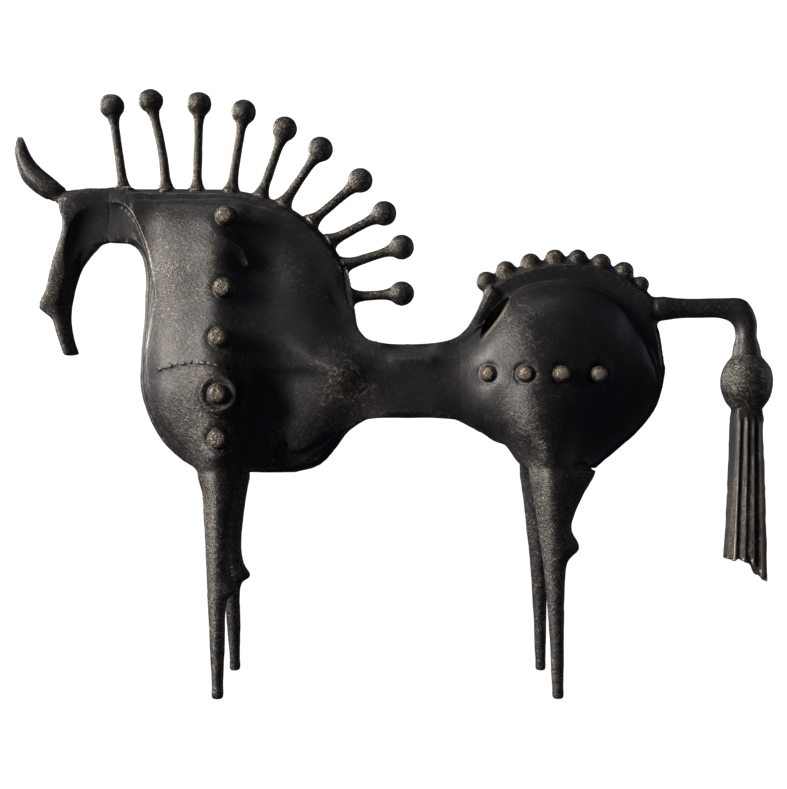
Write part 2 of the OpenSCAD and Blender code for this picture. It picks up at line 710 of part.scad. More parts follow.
module croup_bead_1() { croup_bead(0); }
module croup_bead_2() { croup_bead(1); }
module croup_bead_3() { croup_bead(2); }
module croup_bead_4() { croup_bead(3); }
module croup_bead_5() { croup_bead(4); }
module croup_bead_6() { croup_bead(5); }
module croup_bead_7() { croup_bead(6); }
module croup_bead_8() { croup_bead(7); }

// ---- tail ----

// Tail arm stations: middle x, z, half thickness in the picture plane and across, direction.
tail_stations = [
    [tail_root[0], tail_root[1] - 0.5, 6.6, 6.9, 0],
    [166, 224.5, 6, 6.1, 0],
    [180, 224.6, tail_arm_d / 2 + 0.2, tail_arm_d / 2, 0],
    [195, 224.7, tail_arm_d / 2 + 0.5, tail_arm_d / 2, -3],
    [205.5, 223, tail_arm_d / 2 + 2.4, tail_arm_d / 2 + 0.2, -32],
    [210.2, 215.5, tail_arm_d / 2 + 1.4, tail_arm_d / 2 + 0.4, -68],
    [210.6, 207, tail_arm_d / 2 + 0.4, tail_arm_d / 2 + 0.6, -88],
    [tail_axis_x, tail_neck_z, 7.2, 7.2, -90]
];

function tail_ring(s) =
    let (sides = 16, dir = [cos(s[4] + 90), sin(s[4] + 90)])
    [
        for (i = [0 : sides - 1])
            let (a = 360 * i / sides, r = s[2] * cos(a))
            [s[0] + dir[0] * r, s[3] * sin(a), s[1] + dir[1] * r]
    ];

module tail_arm() {
    steps = 22;
    color(dark_bronze)
    difference() {
        union() {
            loft([for (i = [0 : steps]) tail_ring(at(tail_stations, i / steps))]);
            translate([tail_root[0] - tail_tenon_l + 0.5, 0, tail_root[1]])
                rotate([0, 90, 0]) cylinder(d = tail_tenon_d, h = tail_tenon_l + 4);
        }
        translate([tail_axis_x, 0, tail_neck_z - 1]) cylinder(d = tail_rod_d, h = tail_rod_reach + 1.5);
    }
}

module tail_rod() {
    color(steel)
    translate([tail_axis_x, 0, tassel_top_z - tail_rod_reach])
        cylinder(d = tail_rod_d, h = tail_neck_z - tassel_top_z + 2 * tail_rod_reach);
}

module tail_bulb() {
    r = tail_bulb_d / 2;
    up = (tail_neck_z - bulb_z) * 1.04;
    down = (bulb_z - tassel_top_z) * 1.3;
    arc = [for (a = [-50 : 5 : 65]) [r * cos(a), bulb_z + (a > 0 ? up : down) * sin(a)]];
    color(warm_bronze)
    translate([tail_axis_x, 0, 0]) difference() {
        rotate_extrude() polygon(concat([[0, tassel_top_z], [9, tassel_top_z]], arc,
            [[7.2, tail_neck_z], [0, tail_neck_z]]));
        translate([0, 0, tassel_top_z - 1]) cylinder(d = tail_rod_d, h = tail_neck_z - tassel_top_z + 2);
    }
}

flutes = 10;
tassel_w = 25;

module tassel_section() {
    flute_depth = 0.055;
    steps = 8;
    polygon([
        for (i = [0 : flutes * steps - 1])
            let (a = 360 * i / (flutes * steps), swell = 1 - flute_depth * (1 + cos(a * flutes)) / 2)
            [tail_axis_x - 0.8 + tassel_w / 2 * 1.02 * swell * power(cos(a), 0.8),
             tassel_t / 2 * swell * power(sin(a), 0.8)]
    ]);
}

module tail_tassel() {
    front = curve([[203, tassel_top_z], [202.8, 152], [201.5, 125], [199.9, 100], [198.2, 75]], 12);
    rear = curve([[219.2, tassel_top_z], [219.3, 152], [220.2, 125], [221.1, 95], [222.2, 62]], 12);
    tip = [[221.4, 61.5], [210, 75.6], [209, 74.8]];
    color(dark_bronze)
    difference() {
        intersection() {
            rotate([90, 0, 0]) linear_extrude(tassel_t + 6, center = true)
                polygon(concat(flip(front), rear, tip));
            translate([0, 0, 50]) linear_extrude(tassel_top_z - 50) tassel_section();
        }
        translate([tail_axis_x, 0, tassel_top_z - tail_rod_reach])
            cylinder(d = tail_rod_d, h = tail_rod_reach + 1);
    }
}

front_web();
rear_web();
waist_beam();
waist_tie_rod();
head();
head_dowels();
ear_near();
ear_far();
mane_pin_1();
mane_pin_2();
mane_pin_3();
mane_pin_4();
mane_pin_5();
mane_pin_6();
mane_pin_7();
mane_pin_8();
mane_pin_9();
mane_pin_10();
shoulder_shell_near();
shoulder_shell_far();
haunch_shell_near();
haunch_shell_far();
front_leg_near();
front_leg_far();
hind_leg_near();
hind_leg_far();
shoulder_rivet_1();
shoulder_rivet_2();
shoulder_rivet_3();
shoulder_rivet_4();
shoulder_rivet_5();
hip_rivet_1();
hip_rivet_2();
hip_rivet_3();
hip_rivet_4();
croup_bead_1();
croup_bead_2();
croup_bead_3();
croup_bead_4();
croup_bead_5();
croup_bead_6();
croup_bead_7();
croup_bead_8();
tail_arm();
tail_rod();
tail_bulb();
tail_tassel();
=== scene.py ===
"""Looks of the bronze horse statuette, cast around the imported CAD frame.

Every visible CAD part is turned into a distance field on one shared lattice. The fields are joined,
softly filleted where parts meet, given the relief of the real casting, and cut apart again along
the joints, so each part becomes its own closed piece that flows into its neighbours.
"""

import json
import math

import bpy
import numpy as np
import openvdb
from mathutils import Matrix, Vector


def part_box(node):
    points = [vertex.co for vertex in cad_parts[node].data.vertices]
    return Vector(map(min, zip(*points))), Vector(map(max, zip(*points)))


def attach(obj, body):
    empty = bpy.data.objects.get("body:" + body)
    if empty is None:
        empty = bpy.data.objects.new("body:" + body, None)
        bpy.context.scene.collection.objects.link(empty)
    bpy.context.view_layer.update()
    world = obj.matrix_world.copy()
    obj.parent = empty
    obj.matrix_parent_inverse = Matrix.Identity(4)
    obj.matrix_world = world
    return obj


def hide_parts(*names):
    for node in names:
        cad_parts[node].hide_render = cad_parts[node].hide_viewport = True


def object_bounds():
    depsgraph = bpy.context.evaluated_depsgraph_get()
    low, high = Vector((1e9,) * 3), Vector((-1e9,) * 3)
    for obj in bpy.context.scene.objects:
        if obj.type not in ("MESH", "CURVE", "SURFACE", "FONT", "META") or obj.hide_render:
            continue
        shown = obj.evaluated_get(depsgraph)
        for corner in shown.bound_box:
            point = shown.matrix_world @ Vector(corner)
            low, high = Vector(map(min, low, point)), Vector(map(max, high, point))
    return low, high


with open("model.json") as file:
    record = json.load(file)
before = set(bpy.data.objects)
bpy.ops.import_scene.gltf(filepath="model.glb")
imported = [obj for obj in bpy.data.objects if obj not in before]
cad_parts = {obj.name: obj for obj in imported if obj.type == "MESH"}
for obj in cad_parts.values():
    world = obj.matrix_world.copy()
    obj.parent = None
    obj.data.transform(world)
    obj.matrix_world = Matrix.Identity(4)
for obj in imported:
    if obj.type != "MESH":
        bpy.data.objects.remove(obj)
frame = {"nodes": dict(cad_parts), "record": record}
cad_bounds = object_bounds()
nodes = frame["nodes"]
record = frame["record"]
slot_of = {part["node"]: part["material_slot"] for part in record["subparts"]}

MM = 0.001
VOXEL = 0.5 * MM
BAND = 7 * MM  # how far from its surface each field is known
WIDE_FILLET = 2.4 * MM  # spread of the blur that fills the corners around pins, beads and ears
FILLET = 0.8 * MM  # and of the one around studs
JOINT_BLUR = 2.4 * MM  # and of the one that evens out steps where other parts meet
TRUNK_BLUR = 7 * MM  # and of the one that evens out the sides of the horse where its big parts meet
DEEPEST_SHAVE = 0.6 * MM  # how much the joint blur may take off
OVERLAP = 3 * MM  # a piece runs on under its neighbour until it is this much further from its own part
SINK = 0.12 * MM  # how deep it lies there
SEAM = 1.2 * MM  # difference of distances over which it sinks
PLATE_HALF = float(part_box("front_web")[1][1])
SMALLEST_ISLAND = 400  # loose bits with fewer vertices are dropped
ADAPTIVITY = 0.08  # how freely flat places are meshed with larger faces
SIDE_VIEW_EDGE = 20  # lattice points around the horse in its side view

PROUD = ("mane", "bead", "ear_near", "ear_far")  # parts that grow out of the others
TRUNK = ("head", "front_web", "shoulder_shell_near", "waist_beam", "rear_web", "haunch_shell_near")
HIDDEN = [name for name, slot in slot_of.items() if slot == "steel"]
SHELLS = ("shoulder_shell_near", "haunch_shell_near")
LEGS = ("front_leg_near", "hind_leg_near")
LEG_RAISE = 4 * MM  # how far a leg's top edge is raised, as rounding would leave a nick below its shell
LEAST_WORN = {"worn_bronze": 0.8, "rivet_bronze": 0.9}
# Where the tail arm widens into its neighbours: neighbour, axis, height and reach of the flare.
ARM_FLARES = (("rear_web", 0, 1.2 * MM, 8 * MM), ("tail_bulb", 2, 2.2 * MM, 7 * MM))
# Blur that rounds the facets of each kind of part.
FACET_BLUR = {"shell": 1.8 * MM, "leg": 1.1 * MM, "head": 0.8 * MM, "ear_near": 0.45 * MM, "arm": 0.9 * MM}


# ---- fields ----


class Field:
    """A block of the lattice: the index of its first point and the distances in it."""

    def __init__(self, first, values):
        self.first = first
        self.values = values

    def window(self, first, shape, unknown=BAND):
        """The same field over another block; what it doesn't know is far outside."""
        out = np.full(shape, unknown, dtype=np.float32)
        low = np.maximum(first, self.first)
        high = np.minimum(first + np.array(shape), self.first + np.array(self.values.shape))
        if np.all(high > low):
            a, b = low - first, high - first
            c, d = low - self.first, high - self.first
            out[a[0]:b[0], a[1]:b[1], a[2]:b[2]] = self.values[c[0]:d[0], c[1]:d[1], c[2]:d[2]]
        return out

    def reaches(self, first, shape):
        """Whether the field knows any point of another block."""
        below = self.first < first + np.array(shape)
        above = self.first + np.array(self.values.shape) > first
        return bool(np.all(below & above))

    def axes(self):
        """Coordinates of the lattice points in metres, ready to broadcast."""
        count = self.values.shape
        x = (self.first[0] + np.arange(count[0], dtype=np.float32)) * VOXEL
        y = (self.first[1] + np.arange(count[1], dtype=np.float32)) * VOXEL
        z = (self.first[2] + np.arange(count[2], dtype=np.float32)) * VOXEL
        return x[:, None, None], y[None, :, None], z[None, None, :]


def blurred(values, spread):
    """Gaussian blur along the three axes."""
    sigma = spread / VOXEL
    reach = max(1, int(math.ceil(2.5 * sigma)))
    weights = np.exp(-0.5 * (np.arange(-reach, reach + 1) / sigma) ** 2)
    weights = (weights / weights.sum()).astype(np.float32)
    for axis in range(3):
        pad = [(0, 0)] * 3
        pad[axis] = (reach, reach)
        padded = np.pad(values, pad, mode="edge")
        total = np.zeros_like(values)
        for k, weight in enumerate(weights):
            part = [slice(None)] * 3
            part[axis] = slice(k, k + values.shape[axis])
            total += weight * padded[tuple(part)]
        values = total
    return values


def level_set(points, triangles, quads, low, high):
    """Distance field of a closed mesh over the box from low to high, in metres."""
    first = np.floor((low - BAND) / VOXEL).astype(int)
    last = np.ceil((high + BAND) / VOXEL).astype(int)
    grid = openvdb.FloatGrid.createLevelSetFromPolygons(
        points,
        triangles=triangles,
        quads=quads,
        transform=openvdb.createLinearTransform(voxelSize=VOXEL),
        halfWidth=BAND / VOXEL,
    )
    values = np.zeros(tuple(last - first + 1), dtype=np.float32)
    grid.copyToArray(values, ijk=tuple(int(i) for i in first))
    return Field(first, np.clip(values, -BAND, BAND))


def node_field(name):
    mesh = nodes[name].data
    mesh.calc_loop_triangles()
    points = np.empty(len(mesh.vertices) * 3, dtype=np.float32)
    mesh.vertices.foreach_get("co", points)
    triangles = np.empty(len(mesh.loop_triangles) * 3, dtype=np.int32)
    mesh.loop_triangles.foreach_get("vertices", triangles)
    low, high = (np.array(corner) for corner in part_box(name))
    return level_set(points.reshape(-1, 3), triangles.reshape(-1, 3).astype(np.uint32), None, low, high)


def polygons(field, adaptivity):
    """Mesh of a field's surface: points in metres, triangles and quads, facing outwards."""
    grid = openvdb.FloatGrid(BAND)
    grid.transform = openvdb.createLinearTransform(voxelSize=VOXEL)
    grid.gridClass = openvdb.GridClass.LEVEL_SET
    grid.copyFromArray(np.ascontiguousarray(field.values), ijk=tuple(int(i) for i in field.first))
    points, triangles, quads = grid.convertToPolygons(isovalue=0, adaptivity=adaptivity)
    return points, triangles[:, ::-1], quads[:, ::-1]


def filled_shell(field):
    """A hollow shell of the near side made solid down to the central plate."""
    y = field.axes()[1]
    inside = np.maximum.accumulate(field.values < 0, axis=1)
    solid = np.where(inside, -np.maximum(np.abs(field.values), VOXEL), field.values)
    solid = np.maximum(solid, y + PLATE_HALF).astype(np.float32)
    points, triangles, quads = polygons(Field(field.first, solid), 0)
    low = points.min(axis=0)
    high = points.max(axis=0)
    return level_set(points, triangles, quads, low, high)


def smooth(low, high, value):
    t = np.clip((value - low) / (high - low), 0, 1)
    return t * t * (3 - 2 * t)


# ---- relief of the casting ----


def centre(name):
    low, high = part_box(name)
    return (np.array(low) + np.array(high)) / 2


def near_line(x, z, start, end):
    """Place along a line, 0 at its start and 1 at its end, and distance from it, positive on its left."""
    way = np.array(end) - np.array(start)
    length = float(np.hypot(*way))
    way = way / length
    along = ((x - start[0]) * way[0] + (z - start[1]) * way[1]) / length
    across = (x - start[0]) * -way[1] + (z - start[1]) * way[0]
    return along, across


def bump(value, width):
    return np.exp(-((value / width) ** 2))


def mound(x, z, middle, half_wide, half_high):
    return bump(x - middle[0], half_wide) * bump(z - middle[1], half_high)


def ragged(x, z):
    """Uneven height of a hand-laid weld, 0 to 1."""
    wave = np.sin(x / (0.9 * MM) + 2 * np.sin(z / (1.3 * MM))) * np.sin(x / (2.3 * MM) + 1.7)
    return 0.5 + 0.5 * wave


def hand_made(x, y, z):
    """Slow unevenness of a casting worked by hand."""
    total = 0
    for length, tilt in ((31, 0.3), (23, 1.9), (17, 2.6), (11, 4.2), (7.3, 5.1)):
        k = 1 / (length * MM)
        place = x * math.cos(tilt) + z * math.sin(tilt) + 0.6 * y
        total = total + length * np.sin(k * 6.28 * place + 9 * tilt)
    return total * 0.0025 * MM


def throat(x, z):
    """Distance from the crease around the throat, negative in its hollow, and two shares from 0 to 1.

    The first share grows from the head to the neck; the second is where the crease has faded out.
    """
    low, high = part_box("head")
    middle = high[0] + 2 * MM
    spring = low[2] + 0.33 * (high[2] - low[2])
    half_wide = 0.685 * (high[0] - low[0])
    half_high = 0.58 * (high[2] - low[2])
    neck = smooth(middle - 8 * MM, middle + 12 * MM, x)
    tall = np.clip(z - spring, 0, None) / half_high
    wide = np.abs(x - middle) / (half_wide * (1 - 0.35 * neck * np.minimum(tall, 1)))
    ring = (wide**3 + tall**3) ** (1 / 3)
    outside = (ring - 1) * (half_wide + (half_high - half_wide) * np.clip(tall, 0, 1))
    fades = neck * (1 - smooth(spring - 4 * MM, spring + 22 * MM, z))
    return outside, neck, fades


def throat_hollow(x, z):
    """How far out the surface may reach: little beside the throat, more towards the sharp crease."""
    outside, neck, fades = throat(x, z)
    rise = (5 + 4 * neck) * MM
    cove = PLATE_HALF - 1.8 * MM + rise * np.exp(np.minimum(outside, 0) / (4.5 * MM))
    return cove + 4 * np.maximum(outside, 0) + 40 * MM * fades


def neck_edge(x, z):
    """The neck rises to a ridge along the crease."""
    outside, neck, fades = throat(x, z)
    crease = smooth(-0.8 * MM, 0.4 * MM, outside) * np.exp(-np.maximum(outside, 0) / (13 * MM))
    return 2.6 * MM * crease * neck * (1 - fades)


def neck_thorn(x, z):
    """The hooked thorn on the neck between the first two shoulder studs."""
    top = centre("shoulder_rivet_1")
    foot = centre("shoulder_rivet_2")
    drop = top[2] - foot[2]
    start = (top[0] - 1 * MM, top[2] - 0.28 * drop)
    end = (top[0] + 14 * MM, foot[2] + 0.3 * drop)
    along, across = near_line(x, z, start, end)
    across = across - 3 * MM * np.sin(math.pi * np.clip(along, 0, 1))
    rise = smooth(-0.2, 0.7, along) * (1 - smooth(0.88, 1.06, along))
    gentle = (2 + 8 * (1 - np.clip(along, 0, 1))) * MM
    side = np.where(across > 0, bump(across, 0.8 * MM), bump(across, gentle))
    shoulder = mound(x, z, (top[0] - 6 * MM, (top[2] + foot[2]) / 2 - 2 * MM), 13 * MM, 9 * MM)
    return 3.6 * MM * rise * side + 2 * MM * shoulder


def flank(x, z):
    """Soft ridge from the third stud to a round bulge beside the beam."""
    third = centre("shoulder_rivet_3")
    bulge = (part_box("shoulder_shell_near")[1][0] - 11 * MM, centre("waist_beam")[2])
    along, across = near_line(x, z, (third[0] + 17 * MM, third[2] + 11 * MM), bulge)
    ends = smooth(-0.25, 0.35, along) * (1 - smooth(0.9, 1.2, along))
    ridge = ends * np.where(across > 0, bump(across, 13 * MM), bump(across, 7 * MM))
    return 2.4 * MM * ridge + 3 * MM * mound(x, z, bulge, 12 * MM, 15 * MM)


def chest_ridge(x, z):
    """Upright ridge from the weld down to the front leg: gentle in front of it, steep and hollow behind."""
    third = centre("shoulder_rivet_3")
    fourth = centre("shoulder_rivet_4")
    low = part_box("shoulder_shell_near")[0]
    weld = (third[2] + fourth[2]) / 2
    down = np.clip((weld - z) / (weld - low[2]), 0, 1)
    behind = x - (fourth[0] + 18 * MM - 12 * MM * down**2.5)
    ends = smooth(low[2] + 1 * MM, low[2] + 10 * MM, z) * (1 - smooth(weld - 7 * MM, weld - 1 * MM, z))
    hollow = (1 - np.exp(-np.maximum(behind, 0) / (9 * MM))) * (1 - smooth(10 * MM, 80 * MM, behind))
    crest = np.where(behind > 0, np.exp(-np.maximum(behind, 0) / (5 * MM)), bump(behind, 14 * MM))
    return ends * MM * (1.8 * crest - 1.8 * hollow)


def flank_weld(x, z):
    """Weld seam across the flank: a rough raised bead in front, a low sharp step behind."""
    third = centre("shoulder_rivet_3")
    fourth = centre("shoulder_rivet_4")
    level = (third[2] + fourth[2]) / 2
    front = third[0] - 38 * MM
    back = third[0] + 70 * MM
    rise = 4 * MM * np.sin(math.pi * np.clip((x - front) / (third[0] + 8 * MM - front), 0, 1))
    line = level - 2 * MM + rise
    ends = smooth(front - 2 * MM, front + 3 * MM, x) * (1 - smooth(back - 18 * MM, back, x))
    rough = 1 - smooth(third[0] + 2 * MM, third[0] + 16 * MM, x)
    bead = (0.2 + 0.9 * ragged(x, z)) * bump(z - line, 1.1 * MM) * rough
    crack = -0.6 * bump(z - line + 1.3 * MM, 0.5 * MM)
    above = smooth(-0.5 * MM, 0.5 * MM, z - line) * (1 - smooth(1 * MM, 9 * MM, z - line))
    step = 0.35 * above * (1 - rough)
    return MM * ends * (bead + crack + step)


def stud_rings(x, z, row, studs, groove_at, ring_at, ring_width):
    """Groove around each stud of a row and a swollen ring outside it."""
    total = 0
    for k, (groove, ring) in enumerate(studs, 1):
        stud = centre(f"{row}_{k}")
        radius = np.hypot(x - stud[0], z - stud[2])
        total = total - groove * MM * bump(radius - groove_at, 0.8 * MM)
        total = total + ring * MM * bump(radius - ring_at, ring_width)
    return total


def stud_mounds(x, z):
    """The fourth shoulder stud has the highest ring."""
    shoulder = ((0.5, 0.3), (0.5, 0.4), (0.5, 0.4), (0.4, 1.7), (0.5, 0.6))
    hip = ((0.4, 0), (0.4, 0), (0.4, 0.2), (0.7, 0.5))
    total = stud_rings(x, z, "shoulder_rivet", shoulder, 6.6 * MM, 10.5 * MM, 2.4 * MM)
    return total + stud_rings(x, z, "hip_rivet", hip, 5.8 * MM, 8 * MM, 1.2 * MM)


def tassel_flutes(x, z):
    """Four upright ribs on each side of the tassel, closer together at the top."""
    low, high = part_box("tail_tassel")
    up = np.clip((z - low[2]) / (high[2] - low[2]), 0, 1)
    left = low[0] + 5 * MM * up
    right = high[0] - 3 * MM * up
    across = (x - left) / (right - left)
    ribs = np.cos(2 * math.pi * (across - 0.11) / 0.235)
    inside = smooth(-0.02, 0.08, across) * (1 - smooth(0.94, 1.02, across)) * (x < right + 2 * MM)
    return 0.8 * MM * ribs * inside * (1 - smooth(high[2] - 9 * MM, high[2] - 3 * MM, z)) * (z < high[2])


def slit(x, z):
    """Deep leaf-shaped slit between the rim and the haunch."""
    low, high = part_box("haunch_shell_near")
    start = (low[0] + 13 * MM, high[2] - 34 * MM)
    end = (low[0] + 31 * MM, high[2] - 9 * MM)
    along, across = near_line(x, z, start, end)
    middle = 4 * along * (1 - along)
    half = 2.3 * MM * np.clip(middle, 0, 1)
    across = across - 1 * MM * middle
    return -4.5 * MM * (1 - smooth(half - 1.4 * MM, half + 0.8 * MM, np.abs(across))) * (middle > 0)


def haunch_form(x, z):
    """Long swelling from the upper haunch down the strip that runs into the hind leg."""
    low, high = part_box("haunch_shell_near")
    second = centre("hip_rivet_2")
    strip = (second[0] + 1 * MM, (low[2] + second[2]) / 2 - 6 * MM)
    upper = (second[0] - 3 * MM, (high[2] + second[2]) / 2 + 2 * MM)
    behind = (centre("hip_rivet_4")[0] - 4 * MM, low[2] + 20 * MM)
    total = 1.6 * mound(x, z, strip, 8 * MM, 22 * MM) + 1.2 * mound(x, z, upper, 10 * MM, 15 * MM)
    return MM * (total - 2 * mound(x, z, behind, 14 * MM, 22 * MM))


def side_relief(x, y, z):
    """Everything raised or sunk on the sides of the horse. It fades out towards the middle plane."""
    sides = smooth(3.5 * MM, 6 * MM, np.abs(y))
    front = neck_edge(x, z) + neck_thorn(x, z) + flank(x, z) + chest_ridge(x, z) + flank_weld(x, z)
    return sides * (front + stud_mounds(x, z) + slit(x, z) + haunch_form(x, z) + tassel_flutes(x, z))


def handled(x, z):
    """Where hands and tools have rubbed the patina, 0 to 1."""
    head_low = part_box("head")[0]
    third = centre("shoulder_rivet_3")
    second = centre("hip_rivet_2")
    bulb = centre("tail_bulb")
    bulge = (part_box("shoulder_shell_near")[1][0] - 11 * MM, centre("waist_beam")[2] - 4 * MM)
    patches = (
        (head_low[0] + 4 * MM, head_low[2] + 45 * MM, 14 * MM, 70 * MM, 0.8),
        (third[0] - 22 * MM, third[2] + 30 * MM, 22 * MM, 42 * MM, 0.75),
        (third[0] - 12 * MM, third[2] - 45 * MM, 24 * MM, 34 * MM, 0.95),
        (*bulge, 15 * MM, 19 * MM, 1.2),
        (second[0] - 2 * MM, second[2] + 28 * MM, 11 * MM, 20 * MM, 0.8),
        (second[0] + 2 * MM, second[2] - 38 * MM, 14 * MM, 34 * MM, 0.85),
        (bulb[0] - 2 * MM, bulb[2] + 2 * MM, 9 * MM, 11 * MM, 1.0),
    )
    total = 0
    for middle_x, middle_z, half_wide, half_high, amount in patches:
        total = np.maximum(total, amount * mound(x, z, (middle_x, middle_z), half_wide, half_high))
    legs = 0.7 * (1 - smooth(100 * MM, 150 * MM, z))
    return np.clip(np.maximum(total, legs), 0, 1)


def stud_caps(name, x, y, z):
    """Filed, slightly dished top of a stud."""
    middle = centre(name)
    reach = float(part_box(name)[1][1])
    radius = np.hypot(x - middle[0], z - middle[2])
    top = smooth(reach - 2 * MM, reach - 0.6 * MM, np.abs(y))
    rough = 0.16 * np.sin(x / (0.55 * MM) + 3 * np.sin(z / (0.8 * MM))) * np.sin(z / (0.7 * MM))
    return MM * top * (rough - 0.7 * bump(radius, 2.6 * MM))


# ---- pieces ----


def islands_removed(points, faces):
    """Marks the faces that belong to bodies with enough points."""
    label = np.arange(len(points))
    a = np.concatenate([face[:, 0] for face in faces for _ in range(1, face.shape[1])])
    b = np.concatenate([face[:, k] for face in faces for k in range(1, face.shape[1])])
    while True:
        least = np.minimum(label[a], label[b])
        before = label.copy()
        np.minimum.at(label, label[a], least)
        np.minimum.at(label, label[b], least)
        np.minimum.at(label, a, least)
        np.minimum.at(label, b, least)
        label = label[label]
        if np.array_equal(before, label):
            break
    size = np.bincount(label, minlength=len(points))
    keep = size[label] >= min(SMALLEST_ISLAND, size.max())
    return [face[keep[face[:, 0]]] for face in faces], keep


def sampled(field, values, points):
    """Values of a lattice array at free points, by nearest neighbours along each axis."""
    place = points / VOXEL - field.first
    base = np.clip(np.floor(place).astype(int), 0, np.array(values.shape) - 2)
    part = place - base
    total = np.zeros(len(points), dtype=np.float32)
    for corner in range(8):
        step = np.array([corner >> 2 & 1, corner >> 1 & 1, corner & 1])
        share = np.prod(np.where(step, part, 1 - part), axis=1)
        i, j, k = (base + step).T
        total += share * values[i, j, k]
    return total


def make_object(name, points, triangles, quads, layers):
    mesh = bpy.data.meshes.new(name)
    corners = np.concatenate([triangles.ravel(), quads.ravel()]).astype(np.int32)
    sizes = np.concatenate([np.full(len(triangles), 3), np.full(len(quads), 4)])
    starts = np.concatenate([[0], np.cumsum(sizes)[:-1]]).astype(np.int32)
    mesh.vertices.add(len(points))
    mesh.vertices.foreach_set("co", points.astype(np.float32).ravel())
    mesh.loops.add(len(corners))
    mesh.loops.foreach_set("vertex_index", corners)
    mesh.polygons.add(len(sizes))
    mesh.polygons.foreach_set("loop_start", starts)
    mesh.update(calc_edges=True)
    mesh.validate()
    mesh.shade_smooth()
    for layer, values in layers.items():
        attribute = mesh.attributes.new(layer, "FLOAT", "POINT")
        attribute.data.foreach_set("value", values.astype(np.float32))
    piece = bpy.data.objects.new(name, mesh)
    bpy.context.scene.collection.objects.link(piece)
    return piece


def finish_piece(piece, node):
    piece.data.materials.append(materials[slot_of[node]])
    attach(piece, "root")
    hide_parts(node)


def shortened(points):
    """The far ear is shorter than the near one and leans further forward."""
    low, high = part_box("ear_far")
    root = np.array([high[0] - 6 * MM, (low[1] + high[1]) / 2, low[2] + 6 * MM])
    lean = 4 * MM * np.clip((points[:, 2] - root[2]) / (high[2] - root[2]), 0, 1)
    points = root + 0.78 * (points - root)
    points[:, 0] -= lean
    return points


def bent(node, points):
    """The second mane pin leans in a gentle bow."""
    if node != "mane_pin_2":
        return points
    low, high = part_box(node)
    along = np.clip((points[:, 2] - low[2] - 8 * MM) / (high[2] - low[2] - 20 * MM), 0, 1)
    points = points.copy()
    points[:, 0] += 1.5 * MM * np.sin(math.pi * along)
    return points


def flared_arm(field):
    """The tail arm widened towards the two parts it joins."""
    values = field.values
    for neighbour, axis, height, reach in ARM_FLARES:
        away = np.maximum(field.axes()[axis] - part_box(neighbour)[1][axis], 0)
        values = values - height * np.exp(-((away / reach) ** 1.3))
    return values


def leg_joined(shell, leg, plane):
    """Top of the leg raised, then leg and shell rounded as one body, each kept on its side of the plane."""
    lift = LEG_RAISE * (1 - smooth(2 * MM, 8 * MM, plane - leg.axes()[2]))
    raised = leg.values
    for step in range(1, 1 + round(LEG_RAISE / VOXEL)):
        too_far = np.maximum(step * VOXEL - lift, 0)
        raised = np.minimum(raised, np.roll(leg.values, step, axis=2) + 4 * too_far)
    leg.values = raised
    rounded = []
    for own, other, side in ((shell, leg, 1), (leg, shell, -1)):
        both = np.minimum(own.values, other.window(own.first, own.values.shape))
        beyond = side * (plane - own.axes()[2])
        soft = blurred(both, FACET_BLUR["shell"])
        if side < 0:
            soft = soft + smooth(0, 12 * MM, -beyond) * (blurred(both, FACET_BLUR["leg"]) - soft)
        rounded.append(np.maximum(soft, beyond).astype(np.float32))
    shell.values, leg.values = rounded


def swollen(name, field):
    """Balls and beads come a little fuller from the mould than they were drawn, up to the outer box."""
    z = field.axes()[2]
    if "mane" in name:
        top = cad_bounds[1][2]
        return field.values - 0.7 * MM * (1 - smooth(top - 5 * MM, top - 1 * MM, z))
    if "bead" in name:
        return field.values - 0.8 * MM
    return field.values


def ear_leaf(field):
    """The ear widened on its inner side and thickened at its root."""
    x, _, z = field.axes()
    low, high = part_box("ear_near")
    values = field.values
    for step in range(1, 1 + round(2 * MM / VOXEL)):
        values = np.minimum(values, np.roll(field.values, step, axis=0))
    away = np.hypot(x - (high[0] - 9 * MM), z - (low[2] + 12 * MM))
    return values - 3 * MM * bump(away, 11 * MM)


def outermost(field):
    """How far the near side reaches out over each point of the side view, and whether it is there."""
    y = field.axes()[1]
    inside = field.values < 0
    there = inside.any(axis=1, keepdims=True)
    first = np.maximum(inside.argmax(axis=1, keepdims=True), 1)
    after = np.take_along_axis(field.values, first, axis=1)
    before = np.take_along_axis(field.values, first - 1, axis=1)
    drop = np.where(there, after - before, 1)
    reach = -(y[0, first, 0] - VOXEL * after / drop)
    return np.where(there, reach, 0).astype(np.float32), there


def depth_inside(inside, reach):
    """How far each point of a flat mask lies from the nearest point outside it, up to a reach."""
    steps = round(reach / VOXEL)
    distance = np.where(inside, steps + 1, 0).astype(np.float32)
    for axis in (0, 2):
        squared = distance**2
        nearest = squared.copy()
        for step in range(-steps, steps + 1):
            nearest = np.minimum(nearest, np.roll(squared, step, axis=axis) + step * step)
        distance = np.sqrt(nearest)
    return distance * VOXEL


def trunk_side_block():
    """First lattice point and size of a flat block over the whole side view."""
    low = np.floor(np.array(cad_bounds[0]) / VOXEL).astype(int) - SIDE_VIEW_EDGE
    high = np.ceil(np.array(cad_bounds[1]) / VOXEL).astype(int) + SIDE_VIEW_EDGE
    return np.array([low[0], 0, low[2]]), (high[0] - low[0], 1, high[2] - low[2])


